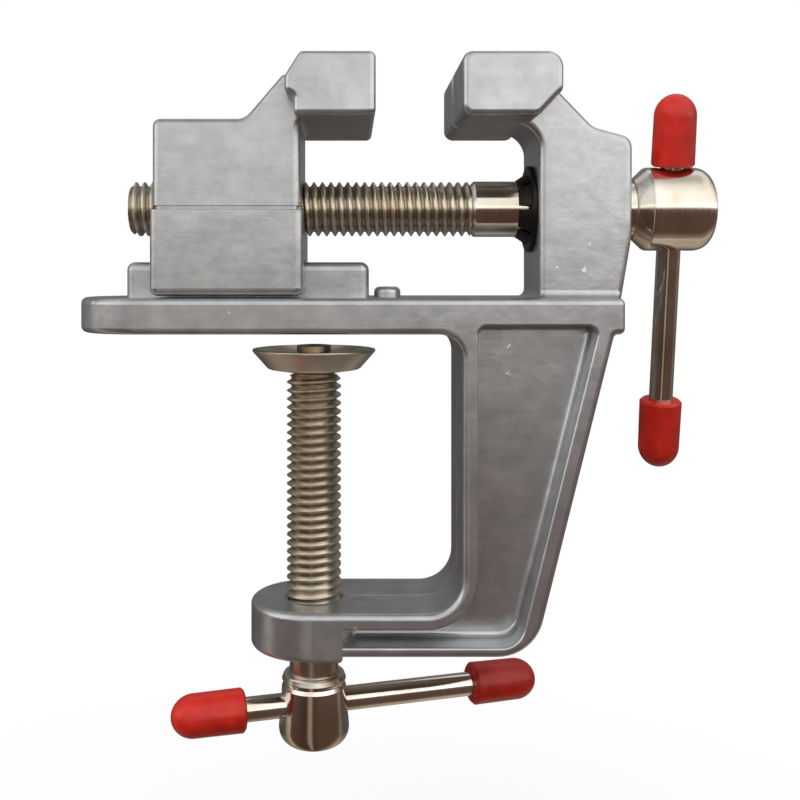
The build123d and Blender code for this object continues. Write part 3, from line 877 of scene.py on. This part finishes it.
def tent_material(level):
    """The light tent, which shows only as a reflection.

    In front it is white just above the horizon, greyer overhead, and dark brown below, with cream strips. It
    is dim behind, and brighter on the right and at the far left than in the middle.
    """
    material = bpy.data.materials.new("light_tent")
    material.use_nodes = True
    tree = material.node_tree
    tree.nodes.clear()
    place = add_node(tree, "ShaderNodeTexCoord").outputs["Object"]
    way = add_node(tree, "ShaderNodeVectorMath", {0: place}, operation="NORMALIZE")
    parts = add_node(tree, "ShaderNodeSeparateXYZ", {"Vector": way.outputs["Vector"]}).outputs
    height = add_node(tree, "ShaderNodeMapRange", {"Value": parts["Z"], "From Min": -1.0, "From Max": 1.0})
    front = add_node(tree, "ShaderNodeValToRGB", {
        "Fac": height.outputs["Result"],
    }, stops=[(position, linear(code)) for position, code in TENT_FRONT])
    back = add_node(tree, "ShaderNodeValToRGB", {
        "Fac": height.outputs["Result"],
    }, stops=[(position, linear(code)) for position, code in TENT_BACK])
    forward = add_node(tree, "ShaderNodeMath", {0: parts["Y"], 1: -1.0}, operation="MULTIPLY")
    turn = add_node(tree, "ShaderNodeMath", {
        0: parts["X"],
        1: forward.outputs["Value"],
    }, operation="ARCTAN2")
    round_share = add_node(tree, "ShaderNodeMapRange", {
        "Value": turn.outputs["Value"],
        "From Min": -math.pi,
        "From Max": math.pi,
    })
    strips = add_node(tree, "ShaderNodeValToRGB", {"Fac": round_share.outputs["Result"]}, stops=strip_stops())
    low = add_node(tree, "ShaderNodeMath", {0: parts["Z"], 1: 0.0}, operation="LESS_THAN")
    strip_share = add_node(tree, "ShaderNodeMath", {
        0: strips.outputs["Color"],
        1: low.outputs["Value"],
    }, operation="MULTIPLY")
    striped = add_node(tree, "ShaderNodeMix", {
        SHARE: strip_share.outputs["Value"],
        COLOUR_A: front.outputs["Color"],
        COLOUR_B: with_alpha(linear(STRIP_COLOUR)),
    }, data_type="RGBA")
    depth = add_node(tree, "ShaderNodeMapRange", {"Value": parts["Y"], "From Min": -0.3, "From Max": 0.3})
    colour = add_node(tree, "ShaderNodeMix", {
        SHARE: depth.outputs["Result"],
        COLOUR_A: striped.outputs[MIXED_COLOUR],
        COLOUR_B: back.outputs["Color"],
    }, data_type="RGBA")
    to_right = add_node(tree, "ShaderNodeMapRange", {
        "Value": parts["X"],
        "From Min": -0.1,
        "From Max": 0.3,
        "To Min": 0.85,
        "To Max": 1.35,
    })
    to_left = add_node(tree, "ShaderNodeMapRange", {
        "Value": parts["X"],
        "From Min": -0.9,
        "From Max": -0.5,
        "To Min": 0.5,
        "To Max": 0.0,
    })
    side = add_node(tree, "ShaderNodeMath", {
        0: to_right.outputs["Result"],
        1: to_left.outputs["Result"],
    }, operation="ADD")
    strength = add_node(tree, "ShaderNodeMath", {0: side.outputs["Value"], 1: level}, operation="MULTIPLY")
    glow = add_node(tree, "ShaderNodeEmission", {
        "Color": colour.outputs[MIXED_COLOUR],
        "Strength": strength.outputs["Value"],
    })
    add_node(tree, "ShaderNodeOutputMaterial", {"Surface": glow.outputs["Emission"]})
    return material


def floor_material(reach):
    """A pale floor that shows white, with the vise's soft shadow fading out round it.

    For the light that falls on it the floor is dark grey, so it throws little back at the vise.
    """
    material = bpy.data.materials.new("pale_floor")
    material.use_nodes = True
    tree = material.node_tree
    tree.nodes.clear()
    place = add_node(tree, "ShaderNodeTexCoord").outputs["Object"]
    far = add_node(tree, "ShaderNodeVectorMath", {0: place}, operation="LENGTH")
    fade = add_node(tree, "ShaderNodeMapRange", {
        "Value": far.outputs["Value"],
        "From Min": 0.3 * reach,
        "From Max": reach,
        "To Min": FLOOR_SHADOW_SHARE,
        "To Max": 0.0,
    }, interpolation_type="SMOOTHSTEP")
    white = add_node(tree, "ShaderNodeEmission", {"Color": with_alpha(grey(1))})
    pale = add_node(tree, "ShaderNodeBsdfDiffuse", {"Color": with_alpha(grey(1))})
    shadowed = add_node(tree, "ShaderNodeMixShader", {
        0: fade.outputs["Result"],
        1: white.outputs["Emission"],
        2: pale.outputs["BSDF"],
    })
    dark = add_node(tree, "ShaderNodeBsdfDiffuse", {"Color": with_alpha(grey(FLOOR_GREY))})
    path = add_node(tree, "ShaderNodeLightPath").outputs
    surface = add_node(tree, "ShaderNodeMixShader", {
        0: path["Is Camera Ray"],
        1: dark.outputs["BSDF"],
        2: shadowed.outputs["Shader"],
    })
    add_node(tree, "ShaderNodeOutputMaterial", {"Surface": surface.outputs["Shader"]})
    return material


class VISE_OT_stage(bpy.types.Operator):
    """Set up the camera, the pale floor, the light tent and the lamp"""

    bl_idname = "vise.stage"
    bl_label = "Stage"

    def execute(self, context):
        settings = context.scene.vise_studio
        lit_world(settings.fill_level)
        self.add_floor(settings)
        self.add_tent(settings)
        self.add_lamp(settings)
        self.add_camera(settings)
        context.scene.view_settings.view_transform = "Standard"
        return {"FINISHED"}

    def add_floor(self, settings):
        half = settings.floor_half
        corners = [(-half, -half, 0), (half, -half, 0), (half, half, 0), (-half, half, 0)]
        mesh = bpy.data.meshes.new("floor")
        mesh.from_pydata(corners, [], [(0, 1, 2, 3)])
        mesh.materials.append(floor_material(settings.shadow_reach))
        floor = bpy.data.objects.new("floor", mesh)
        floor.location.z = CAD_BOX[0].z - settings.floor_drop
        floor.visible_glossy = False
        bpy.context.scene.collection.objects.link(floor)

    def add_tent(self, settings):
        bpy.ops.mesh.primitive_uv_sphere_add(segments=48, ring_count=24, radius=settings.tent_radius)
        tent = bpy.context.object
        tent.name = "light_tent"
        tent.data.materials.append(tent_material(settings.tent_level))
        tent.visible_camera = False
        tent.visible_diffuse = False
        tent.visible_transmission = False
        tent.visible_shadow = False
        tent.visible_volume_scatter = False

    def add_lamp(self, settings):
        data = bpy.data.lights.new("key_lamp", "AREA")
        data.shape = "RECTANGLE"
        data.size, data.size_y = KEY_LAMP_SIZE
        data.energy = settings.key_power
        lamp = bpy.data.objects.new("key_lamp", data)
        lamp.location = KEY_LAMP_PLACE
        lamp.rotation_euler = (-lamp.location).to_track_quat("-Z", "Y").to_euler()
        lamp.visible_glossy = False
        bpy.context.scene.collection.objects.link(lamp)

    def add_camera(self, settings):
        data = bpy.data.cameras.new("camera")
        data.sensor_width = SENSOR_WIDTH
        data.lens = FOCAL_PIXELS / PHOTO_SIZE * SENSOR_WIDTH
        data.shift_x = (PHOTO_SIZE / 2 - AXIS_PIXEL[0]) / PHOTO_SIZE
        data.shift_y = (AXIS_PIXEL[1] - PHOTO_SIZE / 2) / PHOTO_SIZE
        data.clip_start = 0.01
        camera = bpy.data.objects.new("camera", data)
        camera.location = (settings.camera_side, -settings.camera_distance, settings.camera_height)
        camera.rotation_euler = (math.radians(90), 0, 0)
        bpy.context.scene.collection.objects.link(camera)
        bpy.context.scene.camera = camera


STEPS = (
    VISE_OT_castings,
    VISE_OT_mould_lines,
    VISE_OT_screws,
    VISE_OT_pad,
    VISE_OT_washer,
    VISE_OT_bars,
    VISE_OT_caps,
    VISE_OT_stage,
)


class VISE_PT_panel(bpy.types.Panel):
    """Lists the steps that finish the vise"""

    bl_idname = "VISE_PT_panel"
    bl_label = "Mini table vise"
    bl_space_type = "VIEW_3D"
    bl_region_type = "UI"
    bl_category = "Vise"

    def draw(self, context):
        for step in STEPS:
            self.layout.operator(step.bl_idname)


SETTINGS = (
    ("vise_casting", CastingSettings),
    ("vise_metal", MetalSettings),
    ("vise_caps", CapSettings),
    ("vise_studio", StudioSettings),
)


def register():
    """Registers the settings, the steps and the panel."""
    for name, group in SETTINGS:
        bpy.utils.register_class(group)
        setattr(bpy.types.Scene, name, PointerProperty(type=group))
    for step in STEPS:
        bpy.utils.register_class(step)
    bpy.utils.register_class(VISE_PT_panel)


def unregister():
    """Takes the panel, the steps and the settings out again."""
    bpy.utils.unregister_class(VISE_PT_panel)
    for step in reversed(STEPS):
        bpy.utils.unregister_class(step)
    for name, group in reversed(SETTINGS):
        delattr(bpy.types.Scene, name)
        bpy.utils.unregister_class(group)


def main():
    """Runs every step in order."""
    register()
    for step in STEPS:
        area, name = step.bl_idname.split(".")
        getattr(getattr(bpy.ops, area), name)()


if __name__ == "__main__":
    main()
